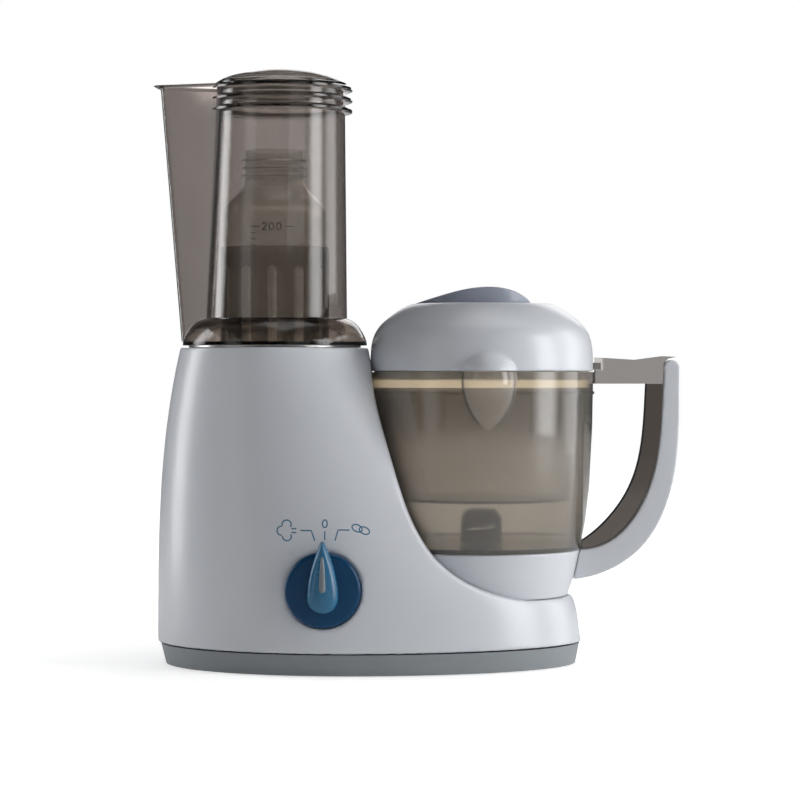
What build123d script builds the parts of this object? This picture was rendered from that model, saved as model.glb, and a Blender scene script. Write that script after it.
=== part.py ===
"""Baby food maker: a steam column with a bottle warmer, and a blender bowl driven from a shared base.

All lengths are in millimetres and +Z is up. The front, with the knob and the pouring spout, faces -Y.
The origin is on the standing surface, under the middle of the whole object's box.
"""

import os
from math import cos, radians, sin

from build123d import *

os.makedirs("parts", exist_ok=True)

# ---------------------------------------------------------------- driving dimensions
mid_y = 4.65  # the plane through both vertical axes
column_x = -93.8  # axis of the steam column, tank, hood, bottle and motor
bowl_x = 43.3  # axis of the bowl, lid, blade and drive shaft
wall = 2.5  # housing wall
skin = 2.0  # wall of the clear parts
gap = 0.3  # space between parts that move past each other

tray_bottom = 0.5
tray_top = 14.0
deck_z = 45.0  # where the bowl stands
column_top = 209.0
column_r = 62.5

tank_r = 51.5
tank_bottom = 150.0

hood_bottom = 228.4
hood_top = 382.0
hood_foot_x, hood_foot_r = -92.6, 46.6  # the hood's tube leans a little from its foot to its mouth
hood_mouth_x, hood_mouth_r = -89.6, 42.2
lid_line = 193.0  # parting line between the bowl and its lid
bowl_bottom = 76.0
bowl_r = 74.0
lid_top = 237.8
spout_x = 45.7

knob_x = -59.5
knob_z = 55.1
knob_r = 24.0
knob_floor_y = -83.5  # floor of the round recess behind the knob, measured from the mid-plane
knob_face_y = knob_floor_y - gap  # back of the dial

belt_z = 25.0
motor_pulley_r = 11.0
drive_pulley_r = 33.0
screw_seat = 7.5  # where the base screws' heads stop
handle_half = 11.0


# ---------------------------------------------------------------- planes, axes and outlines
def level(height, x=0.0):
    """Horizontal plane at a height, centred on the mid-plane."""
    return Plane(origin=(x, mid_y, height))


def upright(x=0.0, y=0.0):
    """Vertical plane that faces the front: local x is +X, local y is +Z, its normal is -Y."""
    return Plane(origin=(x, mid_y + y, 0), x_dir=(1, 0, 0), z_dir=(0, -1, 0))


def vertical(x, y=0.0):
    """Vertical axis at a place."""
    return Axis((x, mid_y + y, 0), (0, 0, 1))


def outline(x, points, y=0.0):
    """Face of straight runs through (radius, height) points, on the upright plane at x."""
    with BuildSketch(upright(x, y)) as face:
        with BuildLine():
            Polyline(*points, close=True)
        make_face()
    return face.sketch


def ring_outline(x, inner, outer, low, high):
    """Rectangular section of a ring about the vertical axis at x."""
    return outline(x, [(inner, low), (outer, low), (outer, high), (inner, high)])


def disc(height, x, radius, y=0.0):
    """Round face at a height."""
    with BuildSketch(level(height, x)) as face:
        with Locations((0, y)):
            Circle(radius)
    return face.sketch


def egg(height, left, middle, right, half_depth):
    """Egg-shaped plan: two half ellipses that meet at the middle, its widest place."""
    with BuildSketch(level(height)) as face:
        with BuildLine():
            EllipticalCenterArc((middle, 0), middle - left, half_depth, 90, arc_size=180)
            EllipticalCenterArc((middle, 0), right - middle, half_depth, 270, arc_size=180)
        make_face()
    return face.sketch


def save(node, builder):
    """Label a finished piece and write it as a STEP file."""
    builder.part.label = node
    export_step(builder.part, f"parts/{node}.step")


# ---------------------------------------------------------------- white housing
housing_low = tray_top + 0.4
base_left = -171.4
base_middle = -45.0
base_half_depth = 90.0
# right-hand end of the housing's plan at each height, before the bowl's place is cut out of it
housing_rights = [(housing_low, 110.0), (32.0, 107.0), (50.0, 100.7), (72.0, 83.0), (100.0, 55.0), (130.0, 26.0),
                  (160.0, 1.0), (185.0, -17.0), (column_top, column_x + column_r)]


def housing_section(height, right, inset):
    """Plan of the housing at a height: an egg at the base that closes to a circle at the column's top."""
    rise = (height - housing_low) / (column_top - housing_low)
    left = base_left + (column_x - column_r - base_left) * rise**3
    middle = base_middle + (column_x - base_middle) * rise**1.5
    half_depth = base_half_depth + (column_r - base_half_depth) * rise**1.7
    return egg(height, left + inset, middle, right - inset, half_depth - inset)


# right-hand edge of the front wall, from above the column top down to the deck
sweep_points = [(-30.2, 215.0), (-27.6, 179.0), (-16.0, 135.0), (0.0, 91.0), (16.4, 69.0), (38.0, 55.0),
                (60.0, 47.8), (84.0, deck_z)]
# wall of the pocket that the bowl stands in, (radius, height): it widens upwards, so the bowl lifts out
pocket_wall = [(58.0, deck_z), (63.2, 60.0), (66.6, 76.0), (70.0, 94.0), (72.8, 115.0), (74.8, 158.0),
               (75.2, 192.0), (75.2, 216.0)]
pocket_r = pocket_wall[-1][0]
sweep_slopes = [0, 0, 0.2, 0.4, 0.8, 0.9, 1, 1]  # how much of the wall's inset goes down at each point
boss_places = [(-142, -44), (-142, 44), (-14, -74), (-14, 74), (76, -42), (76, 42)]
nozzle_z = 199.0


def housing_form(inset):
    """The housing's outer form, or with an inset the form of its hollow."""
    with BuildPart() as form:
        loft(sections=[housing_section(height, right, inset) for height, right in housing_rights])
        sweep = [(x - inset, z - inset * slope) for (x, z), slope in zip(sweep_points, sweep_slopes)]
        with BuildSketch(upright(0, -120)):
            with BuildLine():
                Spline(*sweep)
                Polyline(sweep[-1], (200, deck_z - inset), (200, 215), sweep[0])
            make_face()
        extrude(amount=-240, mode=Mode.SUBTRACT)
        with BuildSketch(upright(bowl_x)):
            with BuildLine():
                Polyline(*[(radius + inset, height) for radius, height in pocket_wall[1:]],
                         (0, 216.0), (0, deck_z - inset), (58.0 + inset, deck_z - inset), close=True)
            make_face()
        revolve(axis=vertical(bowl_x), mode=Mode.SUBTRACT)
    return form.part


hollow = housing_form(wall)
with BuildPart() as bosses:
    for boss_x, boss_y in boss_places:
        extrude(disc(tray_top + 2, boss_x, 5.0, boss_y), amount=deck_z - tray_top - 3)
        side = 1 if boss_y > 0 else -1
        with BuildSketch(level(tray_top + 2, boss_x)):
            with Locations((0, boss_y + 8 * side)):
                Rectangle(2.0, 16.0)
        extrude(amount=deck_z - tray_top - 3)
    with BuildSketch(upright(knob_x, knob_floor_y - 2)):
        with Locations((0, knob_z)):
            Circle(knob_r + 3)
    extrude(amount=-4.5)
    add(housing_form(1.0), mode=Mode.INTERSECT)
with BuildPart() as main_housing:
    add(housing_form(0))
    add(hollow, mode=Mode.SUBTRACT)
    add(bosses.part)
    for boss_x, boss_y in boss_places:
        extrude(disc(tray_top + 2, boss_x, 1.6, boss_y), amount=16, mode=Mode.SUBTRACT)
    extrude(disc(tray_top, column_x, tank_r + 0.5), amount=210, mode=Mode.SUBTRACT)
    extrude(disc(tray_top, bowl_x, 14.2), amount=60, mode=Mode.SUBTRACT)
    with BuildSketch(upright(knob_x, -110)):
        with Locations((0, knob_z)):
            Circle(knob_r + 0.5)
    extrude(amount=-(110 + knob_floor_y), mode=Mode.SUBTRACT)
    with BuildSketch(upright(knob_x, -110)):
        with Locations((0, knob_z)):
            Circle(4.5)
    extrude(amount=-60, mode=Mode.SUBTRACT)
    with BuildSketch(Plane(origin=(-60, mid_y, nozzle_z), z_dir=(1, 0, 0))):
        Circle(7.3)
    extrude(amount=40, mode=Mode.SUBTRACT)
    with BuildSketch(upright(-110, 110)):
        with Locations((0, 30)):
            Circle(6.3)
    extrude(amount=60, mode=Mode.SUBTRACT)
save("main_housing", main_housing)

# ---------------------------------------------------------------- grey tray, feet and screws
foot_places = [(-122, -50), (-122, 50), (-34, -70), (-34, 70), (88, -22), (88, 22)]
with BuildPart() as base_tray:
    loft(sections=[egg(tray_bottom, -166.0, -45.0, 105.5, 85.0), egg(tray_top, -169.4, -45.0, 108.2, 88.0)])
    inside = [egg(tray_bottom + 2.2, -163.0, -45.0, 102.5, 82.0), egg(tray_top + 1, -166.6, -45.0, 105.4, 85.2)]
    loft(sections=inside, mode=Mode.SUBTRACT)
    for boss_x, boss_y in boss_places:
        extrude(disc(tray_bottom, boss_x, 5.5, boss_y), amount=tray_top - tray_bottom)
        extrude(disc(tray_bottom, boss_x, 2.0, boss_y), amount=20, mode=Mode.SUBTRACT)
        extrude(disc(tray_bottom, boss_x, 3.6, boss_y), amount=screw_seat - tray_bottom, mode=Mode.SUBTRACT)
    for foot_x, foot_y in foot_places:
        extrude(disc(tray_bottom, foot_x, 4.1, foot_y), amount=3, mode=Mode.SUBTRACT)
    with BuildSketch(level(tray_bottom)):
        with Locations((column_x, 0)):
            with GridLocations(8, 0, 6, 1):
                SlotOverall(44, 3.4, rotation=90)
    extrude(amount=4, mode=Mode.SUBTRACT)
save("base_tray", base_tray)

with BuildPart() as rubber_feet:
    for foot_x, foot_y in foot_places:
        extrude(disc(0, foot_x, 7.0, foot_y), amount=tray_bottom)
        extrude(disc(tray_bottom, foot_x, 4.0, foot_y), amount=3)
save("rubber_feet", rubber_feet)

with BuildPart() as housing_screws:
    for boss_x, boss_y in boss_places:
        extrude(disc(screw_seat - 2.5, boss_x, 3.3, boss_y), amount=2.4)
        extrude(disc(screw_seat - 0.1, boss_x, 1.55, boss_y), amount=18)
save("housing_screws", housing_screws)

# ---------------------------------------------------------------- steam boiler
tank_lip = column_top + 1.0
with BuildPart() as boiler_tank:
    revolve(
        outline(0, [
            (column_x, tank_bottom), (column_x + 46, tank_bottom), (column_x + tank_r, tank_bottom + 6),
            (column_x + tank_r, column_top), (column_x + 57, column_top), (column_x + 57, tank_lip),
            (column_x + tank_r - 1, tank_lip), (column_x + tank_r - 1, tank_bottom + 6.6),
            (column_x + 45.5, tank_bottom + 1), (column_x, tank_bottom + 1),
        ]),
        axis=vertical(column_x),
    )
    with BuildSketch(Plane(origin=(column_x + 30, mid_y, nozzle_z), z_dir=(1, 0, 0))):
        Circle(5.0)
    extrude(amount=30, mode=Mode.SUBTRACT)
save("boiler_tank", boiler_tank)

with BuildPart() as heating_element:
    revolve(ring_outline(column_x, 22, 30, tank_bottom - 7.5, tank_bottom - 0.3), axis=vertical(column_x))
    for end_x in (-26, 26):
        extrude(disc(tank_bottom - 20, column_x + end_x, 3.0), amount=12.5)
save("heating_element", heating_element)

with BuildPart() as boiler_clamp:
    revolve(ring_outline(column_x, 16, 40, tank_bottom - 10, tank_bottom - 7.8), axis=vertical(column_x))
    with PolarLocations(26, 2):
        Hole(3.4)
    for end_x in (-26, 26):
        extrude(disc(tank_bottom - 12, column_x + end_x, 3.6), amount=6, mode=Mode.SUBTRACT)
save("boiler_clamp", boiler_clamp)

with BuildPart() as boiler_thermostat:
    extrude(disc(tank_bottom - 12, column_x, 9.0), amount=11.7)
    with BuildSketch(level(tank_bottom - 20, column_x)):
        with GridLocations(9, 0, 2, 1):
            Rectangle(1.0, 6.0)
    extrude(amount=8)
save("boiler_thermostat", boiler_thermostat)

with BuildPart() as thermal_fuse:
    with BuildSketch(Plane(origin=(column_x - 9, mid_y + 35, tank_bottom - 3), z_dir=(1, 0, 0))):
        Circle(2.4)
    extrude(amount=18)
save("thermal_fuse", thermal_fuse)

nozzle_face = bowl_x - pocket_r - 0.4
with BuildPart() as steam_nozzle:
    with BuildSketch(Plane(origin=(column_x + tank_r - 3, mid_y, nozzle_z), z_dir=(1, 0, 0))):
        Circle(4.9)
        Circle(3.6, mode=Mode.SUBTRACT)
    extrude(amount=nozzle_face - column_x - tank_r + 3)
save("steam_nozzle", steam_nozzle)

with BuildPart() as nozzle_seal:
    with BuildSketch(Plane(origin=(column_x + tank_r + 0.2, mid_y, nozzle_z), z_dir=(1, 0, 0))):
        Circle(7.1)
        Circle(5.0, mode=Mode.SUBTRACT)
    extrude(amount=nozzle_face - column_x - tank_r - 0.6)
save("nozzle_seal", nozzle_seal)

# ---------------------------------------------------------------- motor
motor_low = 46.0
motor_high = 116.0
motor_r = 33.0
shaft_r = 4.0
motor_bolts_r = 26.0
with BuildPart() as motor_case:
    revolve(ring_outline(column_x, 0, motor_r, motor_low, motor_high), axis=vertical(column_x))
    revolve(ring_outline(column_x, 0, motor_r - 5, motor_low + 3, motor_high - 3), axis=vertical(column_x),
            mode=Mode.SUBTRACT)
    extrude(disc(motor_low - 1, column_x, 7.0), amount=motor_high - motor_low + 2, mode=Mode.SUBTRACT)
    with BuildSketch(level(motor_low, column_x)):
        with PolarLocations(motor_bolts_r, 3):
            Circle(1.6)
    extrude(amount=10, mode=Mode.SUBTRACT)
save("motor_case", motor_case)

with BuildPart() as motor_bushes:
    for bush_z in (motor_low - 1, motor_high - 5):
        revolve(ring_outline(column_x, shaft_r + 0.05, 6.95, bush_z, bush_z + 6), axis=vertical(column_x))
save("motor_bushes", motor_bushes)

with BuildPart() as motor_rotor:
    revolve(ring_outline(column_x, shaft_r, 26.5, motor_low + 12, motor_high - 12), axis=vertical(column_x))
save("motor_rotor", motor_rotor)

with BuildPart() as motor_shaft:
    extrude(disc(belt_z - 8, column_x, shaft_r), amount=motor_high + 16 - belt_z + 8)
save("motor_shaft", motor_shaft)

with BuildPart() as cooling_fan:
    revolve(ring_outline(column_x, shaft_r, 9, motor_high + 4, motor_high + 14), axis=vertical(column_x))
    with BuildSketch(level(motor_high + 4, column_x)):
        with PolarLocations(19, 9):
            Rectangle(22, 1.4, rotation=12)
    extrude(amount=9)
save("cooling_fan", cooling_fan)

with BuildPart() as motor_pulley:
    revolve(
        outline(column_x, [
            (shaft_r, belt_z - 6), (motor_pulley_r + 2, belt_z - 6), (motor_pulley_r, belt_z - 4),
            (motor_pulley_r, belt_z + 4), (motor_pulley_r + 2, belt_z + 6), (shaft_r, belt_z + 6),
        ]),
        axis=vertical(column_x),
    )
save("motor_pulley", motor_pulley)

with BuildPart() as motor_bracket:
    with BuildSketch(level(motor_low - 4, column_x)):
        RectangleRounded(96, 74, 8)
        Circle(12, mode=Mode.SUBTRACT)
        with PolarLocations(motor_bolts_r, 3):
            Circle(2.0, mode=Mode.SUBTRACT)
    extrude(amount=3.8)
    with BuildSketch(level(tray_bottom + 2.4, column_x)):
        with GridLocations(84, 62, 2, 2):
            Circle(4.5)
    extrude(amount=motor_low - 4 - tray_bottom - 2.4)
save("motor_bracket", motor_bracket)

with BuildPart() as motor_screws:
    with BuildSketch(level(motor_low - 6.2, column_x)):
        with PolarLocations(motor_bolts_r, 3):
            Circle(3.2)
    extrude(amount=2.0)
    with BuildSketch(level(motor_low - 4.2, column_x)):
        with PolarLocations(motor_bolts_r, 3):
            Circle(1.55)
    extrude(amount=12)
save("motor_screws", motor_screws)

# ---------------------------------------------------------------- belt drive under the bowl
bearing_low = 31.6
bearing_high = 50.5
with BuildPart() as bearing_housing:
    revolve(ring_outline(bowl_x, 8.0, 13.9, bearing_low, bearing_high), axis=vertical(bowl_x))
    revolve(ring_outline(bowl_x, 13.0, 34.0, 38.6, 42.2), axis=vertical(bowl_x))
save("bearing_housing", bearing_housing)

with BuildPart() as shaft_bushes:
    for bush_z in (bearing_low, bearing_high - 7):
        revolve(ring_outline(bowl_x, shaft_r + 0.05, 7.95, bush_z, bush_z + 6), axis=vertical(bowl_x))
save("shaft_bushes", shaft_bushes)

with BuildPart() as deck_seal:
    revolve(ring_outline(bowl_x, shaft_r + 0.4, 12.0, bearing_high, bearing_high + 2.0), axis=vertical(bowl_x))
save("deck_seal", deck_seal)

with BuildPart() as drive_shaft:
    extrude(disc(belt_z - 8, bowl_x, shaft_r), amount=43)
save("drive_shaft", drive_shaft)

with BuildPart() as drive_pulley:
    revolve(
        outline(bowl_x, [
            (shaft_r, belt_z - 6), (drive_pulley_r + 2, belt_z - 6), (drive_pulley_r, belt_z - 4),
            (drive_pulley_r, belt_z + 4), (drive_pulley_r + 2, belt_z + 6), (shaft_r, belt_z + 6),
        ]),
        axis=vertical(bowl_x),
    )
    with BuildSketch(level(belt_z - 7, bowl_x)):
        with PolarLocations(19, 5):
            Circle(6.5)
    extrude(amount=14, mode=Mode.SUBTRACT)
save("drive_pulley", drive_pulley)

belt_gap = 0.3
belt_thick = 2.0


def belt_face(offset_by):
    """Outline of the belt round both pulleys: two arcs and the two outer tangents."""
    small = motor_pulley_r + belt_gap + offset_by
    large = drive_pulley_r + belt_gap + offset_by
    with BuildSketch(level(belt_z - 3.5)) as face:
        with Locations((column_x, 0)):
            Circle(small)
        with Locations((bowl_x, 0)):
            Circle(large)
        slope = (large - small) / (bowl_x - column_x)
        rise = (1 - slope**2) ** 0.5
        Polygon(
            (column_x - small * slope, small * rise), (column_x - small * slope, -small * rise),
            (bowl_x - large * slope, -large * rise), (bowl_x - large * slope, large * rise), align=None,
        )
    return face.sketch


with BuildPart() as drive_belt:
    extrude(belt_face(belt_thick), amount=7)
    extrude(belt_face(0), amount=7, mode=Mode.SUBTRACT)
save("drive_belt", drive_belt)

dog_low = 53.0
with BuildPart() as drive_dog:
    revolve(ring_outline(bowl_x, shaft_r, 8.0, dog_low, dog_low + 7), axis=vertical(bowl_x))
    with BuildSketch(level(dog_low, bowl_x)):
        with PolarLocations(8.2, 4):
            RectangleRounded(3.4, 3.4, 0.8)
    extrude(amount=7)
save("drive_dog", drive_dog)

# ---------------------------------------------------------------- switch, mains entry and knob
with BuildPart() as selector_switch:
    with BuildSketch(upright(knob_x, -74.5)):
        with Locations((0, knob_z)):
            RectangleRounded(30, 26, 3)
            Circle(3.6, mode=Mode.SUBTRACT)
    extrude(amount=-22)
save("selector_switch", selector_switch)

with BuildPart() as switch_spindle:
    with BuildSketch(upright(knob_x, knob_face_y - 6)):
        with Locations((0, knob_z)):
            Circle(3.5)
    extrude(amount=-24)
save("switch_spindle", switch_spindle)

with BuildPart() as terminal_block:
    with BuildSketch(level(tray_bottom + 2.4, -150)):
        RectangleRounded(14, 30, 1)
    extrude(amount=14)
    with BuildSketch(level(tray_bottom + 16.4, -150)):
        with GridLocations(0, 9, 1, 3):
            Circle(2.6)
    extrude(amount=-6, mode=Mode.SUBTRACT)
save("terminal_block", terminal_block)

with BuildPart() as cord_gland:
    with BuildSketch(upright(-110, 68)):
        with Locations((0, 30)):
            Circle(6.0)
            Circle(3.6, mode=Mode.SUBTRACT)
    extrude(amount=-17)
save("cord_gland", cord_gland)

pointer_tip = 31.0
pointer_tail = 14.5
dial_thick = 7.0
pointer_thick = 8.5
pointer_front = knob_face_y - dial_thick - pointer_thick
with BuildPart() as knob_dial:
    with BuildSketch(upright(knob_x, knob_face_y)):
        with Locations((0, knob_z)):
            Circle(knob_r)
    extrude(amount=dial_thick)
    front_rim = knob_dial.edges().group_by(Axis.Y)[0]
    fillet(front_rim, 2.5)
    with BuildSketch(upright(knob_x, knob_face_y)):
        with Locations((0, knob_z)):
            Circle(3.6)
    extrude(amount=6.1, mode=Mode.SUBTRACT)
save("knob_dial", knob_dial)

with BuildPart() as knob_pointer:
    with BuildSketch(upright(knob_x, knob_face_y - dial_thick)):
        with Locations((0, knob_z + 10.0 - pointer_tail)):
            Circle(10.0)
        with Locations((0, knob_z + pointer_tip - 2.0)):
            Circle(2.0)
        make_hull()
    extrude(amount=pointer_thick)
    pointer_rim = knob_pointer.edges().group_by(Axis.Y)[0]
    chamfer(pointer_rim, 1.5)
    with BuildSketch(upright(knob_x, pointer_front)):
        with Locations((0, knob_z + 6)):
            SlotOverall(23, 3.2, rotation=90)
    extrude(amount=-2.5, mode=Mode.SUBTRACT)
save("knob_pointer", knob_pointer)

with BuildPart() as indicator_lens:
    with BuildSketch(upright(knob_x, pointer_front + 0.2)):
        with Locations((0, knob_z + 6)):
            SlotOverall(22.8, 3.0, rotation=90)
    extrude(amount=-2.2)
save("indicator_lens", indicator_lens)

# ---------------------------------------------------------------- bowl
# outer wall of the bowl, (radius, height)
bowl_wall = [(65.4, bowl_bottom), (68.7, 94.0), (71.2, 115.0), (73.4, 158.0), (bowl_r, lid_line - 0.3)]
spout_y = -68.0  # axis of the pouring spout's egg shape
spout_r = 18.3
spout_low, spout_wide, spout_high = 152.2, 188.5, 206.0
rest_z = 181.0  # ledge inside the bowl that carries the basket


def spout_radius(height, inset):
    """Radius of the egg at a height: widest near its top, pointed below."""
    low, high, radius = spout_low + 2 * inset, spout_high - inset, spout_r - inset
    if height < spout_wide:
        return radius * max(0, 1 - ((spout_wide - height) / (spout_wide - low)) ** 2) ** 0.73
    return radius * max(0, 1 - ((height - spout_wide) / (high - spout_wide)) ** 2) ** 0.5


def spout_egg(inset, low, high):
    """Part of the egg-shaped spout between two heights, as a solid of revolution."""
    foot, crown = spout_low + 2 * inset, spout_high - inset
    lower = [foot + (spout_wide - foot) * share for share in (0, 0.03, 0.12, 0.28, 0.5, 0.75, 1)]
    upper = [spout_wide + (crown - spout_wide) * share for share in (0, 0.35, 0.65, 0.88, 1)]
    with BuildPart() as egg_part:
        with BuildSketch(upright(spout_x, spout_y)):
            with BuildLine():
                Spline(*[(spout_radius(height, inset), height) for height in lower])
                Spline(*[(spout_radius(height, inset), height) for height in upper])
                Line((0, crown), (0, foot))
            make_face()
        revolve(axis=vertical(spout_x, spout_y))
        with BuildSketch(level(low, spout_x)):
            with Locations((0, spout_y)):
                Rectangle(60, 60)
        extrude(amount=high - low, mode=Mode.INTERSECT)
    return egg_part.part


strut_half = 7.0
strut_inner = [(152.5, 185.0), (151.0, 158.0), (143.0, 120.0), (128.5, 97.0), (111.0, 81.5)]
cover_inner = [(163.8, 194.0), (161.8, 158.8), (150.5, 108.3), (124.5, 79.2), (108.0, 75.6)]
cover_outer = [(173.9, 195.0), (173.5, 155.0), (166.5, 108.5), (149.8, 78.0), (128.0, 62.2), (100.0, 55.6)]

with BuildPart() as bowl_shell:
    with BuildSketch(upright(bowl_x)):
        with BuildLine():
            Polyline(*bowl_wall, (bowl_r - 2.2, lid_line - 0.3), (bowl_r - 2.2, rest_z), (69.8, rest_z),
                     (69.8, rest_z - 2), (70.6, 145), (69.0, 115.0), (66.4, 94.0), (63.2, bowl_bottom + 2.6),
                     (9.0, bowl_bottom + 2.6), (9.0, 93), (4.05, 93), (4.05, bowl_bottom), close=True)
        make_face()
    revolve(axis=vertical(bowl_x))
    revolve(ring_outline(bowl_x, 72.5, 74.7, 178.2, 179.8), axis=vertical(bowl_x))
    with BuildSketch(upright(0, -strut_half)):
        with BuildLine():
            Spline(*strut_inner)
            Line(strut_inner[-1], (104.0, 79.0))
            Line((104.0, 79.0), (104.0, 75.8))
            Line((104.0, 75.8), (cover_inner[-1][0] - 0.2, cover_inner[-1][1] + 0.2))
            Spline(*[(x - 0.2, z + 0.2) for x, z in reversed(cover_inner)])
            Polyline((163.6, 194.2), (163.4, 198.5), (166.6, 201.5), (171.8, 202.8), (163.0, 203.2),
                     (145.0, 200.8), (118.6, 202.4),
                     (118.6, lid_line - 0.4), (113.5, lid_line - 0.4), (113.5, 185.0), (152.5, 185.0))
        make_face()
    extrude(amount=-2 * strut_half)
    with BuildSketch(level(194.0, 121.0)):
        Rectangle(6.0, 10.0)
    extrude(amount=20, mode=Mode.SUBTRACT)
    add(spout_egg(0, 150.0, lid_line - 0.3))
    revolve(
        outline(bowl_x, [(9.0, bowl_bottom + 2.6), (63.2, bowl_bottom + 2.6), (66.4, 94.0), (69.0, 115.0),
                         (70.6, 145), (69.8, rest_z - 2), (69.8, rest_z), (bowl_r - 2.2, rest_z),
                         (bowl_r - 2.2, 230), (9.0, 230)]),
        axis=vertical(bowl_x), mode=Mode.SUBTRACT,
    )
    add(spout_egg(1.8, 150.0, lid_line + 1), mode=Mode.SUBTRACT)
save("bowl_shell", bowl_shell)

collar_low = deck_z + 0.2
with BuildPart() as bowl_collar:
    revolve(
        outline(bowl_x, [(57.0, collar_low), (62.0, 60.0), (65.2, bowl_bottom - 0.2), (20.0, bowl_bottom - 0.2),
                         (20.0, bowl_bottom - 2.6), (62.0, bowl_bottom - 2.6), (59.5, 60.5), (54.6, collar_low)]),
        axis=vertical(bowl_x),
    )
save("bowl_collar", bowl_collar)

with BuildPart() as handle_cover:
    with BuildSketch(upright(0, -handle_half)):
        with BuildLine():
            Spline(*cover_outer)
            Line(cover_outer[-1], (100.0, 75.4))
            Line((100.0, 75.4), cover_inner[-1])
            Spline(*reversed(cover_inner))
            ThreePointArc(cover_inner[0], (169.6, 200.6), cover_outer[0])
        make_face()
    extrude(amount=-2 * handle_half)
    revolve(
        outline(bowl_x, [(0, 40), (57.3, collar_low), (62.3, 60.0), (65.5, bowl_bottom), (65.5, 90), (0, 90)]),
        axis=vertical(bowl_x), mode=Mode.SUBTRACT,
    )
save("handle_cover", handle_cover)

with BuildPart() as spindle_seal:
    revolve(ring_outline(bowl_x, 4.3, 9.5, bowl_bottom - 2.4, bowl_bottom - 0.1), axis=vertical(bowl_x))
save("spindle_seal", spindle_seal)

# ---------------------------------------------------------------- blade
with BuildPart() as blade_spindle:
    extrude(disc(66.0, bowl_x, 4.0), amount=33)
save("blade_spindle", blade_spindle)

with BuildPart() as driven_dog:
    revolve(ring_outline(bowl_x, 4.0, 13.2, 63.6, 71.0), axis=vertical(bowl_x))
    revolve(ring_outline(bowl_x, 11.0, 13.2, 56.0, 63.8), axis=vertical(bowl_x))
    with BuildSketch(level(dog_low + 3, bowl_x)):
        with PolarLocations(11.4, 4, start_angle=45):
            RectangleRounded(3.0, 5.0, 0.8)
    extrude(amount=8)
save("driven_dog", driven_dog)

with BuildPart() as blade_hub:
    revolve(
        outline(bowl_x, [(9.4, 79.6), (14.0, 79.6), (13.2, 97.0), (9.5, 101.5), (0, 102.5), (0, 99.0),
                         (4.0, 99.0), (4.0, 94.0), (9.4, 94.0)]),
        axis=vertical(bowl_x),
    )
save("blade_hub", blade_hub)

with BuildPart() as blades:
    for blade_z, turn in ((84.0, 0), (91.0, 90)):
        for half_turn in (0, 180):
            with BuildSketch(level(blade_z, bowl_x).rotated((0, 0, turn + half_turn))):
                with BuildLine():
                    Spline((12.5, 7.5), (34.0, 6.0), (55.0, -9.0))
                    Line((55.0, -9.0), (53.5, -10.5))
                    Spline((53.5, -10.5), (32.0, -5.0), (12.5, -6.5))
                    Line((12.5, -6.5), (12.5, 7.5))
                make_face()
            extrude(amount=1.4)
    extrude(disc(80, bowl_x, 13.95), amount=20, mode=Mode.SUBTRACT)
save("blades", blades)

# ---------------------------------------------------------------- steam basket inside the bowl
rim_low = rest_z + 1.6
rim_high = 187.4
with BuildPart() as basket_rim:
    revolve(ring_outline(bowl_x, 69.0, 71.2, rim_low, rim_high), axis=vertical(bowl_x))
save("basket_rim", basket_rim)


with BuildPart() as steam_basket:
    revolve(
        outline(bowl_x, [(58.0, 108.0), (66.6, rest_z + 0.3), (71.2, rest_z + 0.3), (71.2, rim_low - 0.05),
                         (64.8, rim_low - 0.05), (56.4, 109.8), (0, 109.8), (0, 108.0)]),
        axis=vertical(bowl_x),
    )
    with BuildSketch(level(105, bowl_x)):
        for ring_r, count in ((12, 6), (24, 12), (36, 18), (48, 24)):
            with PolarLocations(ring_r, count):
                Circle(2.2)
    extrude(amount=6, mode=Mode.SUBTRACT)
save("steam_basket", steam_basket)

# ---------------------------------------------------------------- lid
with BuildPart() as lid_shell:
    with BuildSketch(upright(bowl_x)):
        with BuildLine():
            Polyline((0, lid_top - 2.4), (0, lid_top), (46.0, lid_top))
            Spline((46.0, lid_top), (60.0, 229.8), (68.4, 222.0), (72.4, 213.5), (73.7, 204.0), (73.9, lid_line),
                   tangents=[(1, -0.35), (0, -1)])
            Polyline((73.9, lid_line), (71.5, lid_line), (71.3, 204.0))
            Spline((71.3, 204.0), (66.4, 220.0), (45.0, lid_top - 2.4))
            Line((45.0, lid_top - 2.4), (0, lid_top - 2.4))
        make_face()
    revolve(axis=vertical(bowl_x))
    add(spout_egg(0, lid_line, 210.0))
    lid_hollow = [(0, 190), (71.5, 190), (71.3, 204), (66.4, 219.5), (45.0, lid_top - 2.4), (0, lid_top - 2.4)]
    revolve(outline(bowl_x, lid_hollow), axis=vertical(bowl_x), mode=Mode.SUBTRACT)
    add(spout_egg(1.8, lid_line - 1, 210.0), mode=Mode.SUBTRACT)
    extrude(disc(230, bowl_x, 16), amount=20, mode=Mode.SUBTRACT)
    with BuildSketch(Plane(origin=(bowl_x - 60, mid_y, nozzle_z), z_dir=(-1, 0, 0))):
        Circle(5.6)
    extrude(amount=30, mode=Mode.SUBTRACT)
save("lid_shell", lid_shell)

with BuildPart() as lid_tab:
    with BuildSketch(level(lid_line + 1.3, 119.6)):
        RectangleRounded(5.4, 8.0, 1.0)
    extrude(amount=4.6)
    revolve(ring_outline(bowl_x, 0, 74.05, 190, 205), axis=vertical(bowl_x), mode=Mode.SUBTRACT)
save("lid_tab", lid_tab)

with BuildPart() as lid_gasket:
    revolve(ring_outline(bowl_x, 66.0, 71.2, 188.2, 190.4), axis=vertical(bowl_x))
    revolve(ring_outline(bowl_x, 69.6, 71.2, 190.4, 197.5), axis=vertical(bowl_x))
    with BuildSketch(Plane(origin=(bowl_x - 60, mid_y, nozzle_z), z_dir=(-1, 0, 0))):
        Circle(5.6)
    extrude(amount=30, mode=Mode.SUBTRACT)
save("lid_gasket", lid_gasket)

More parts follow.
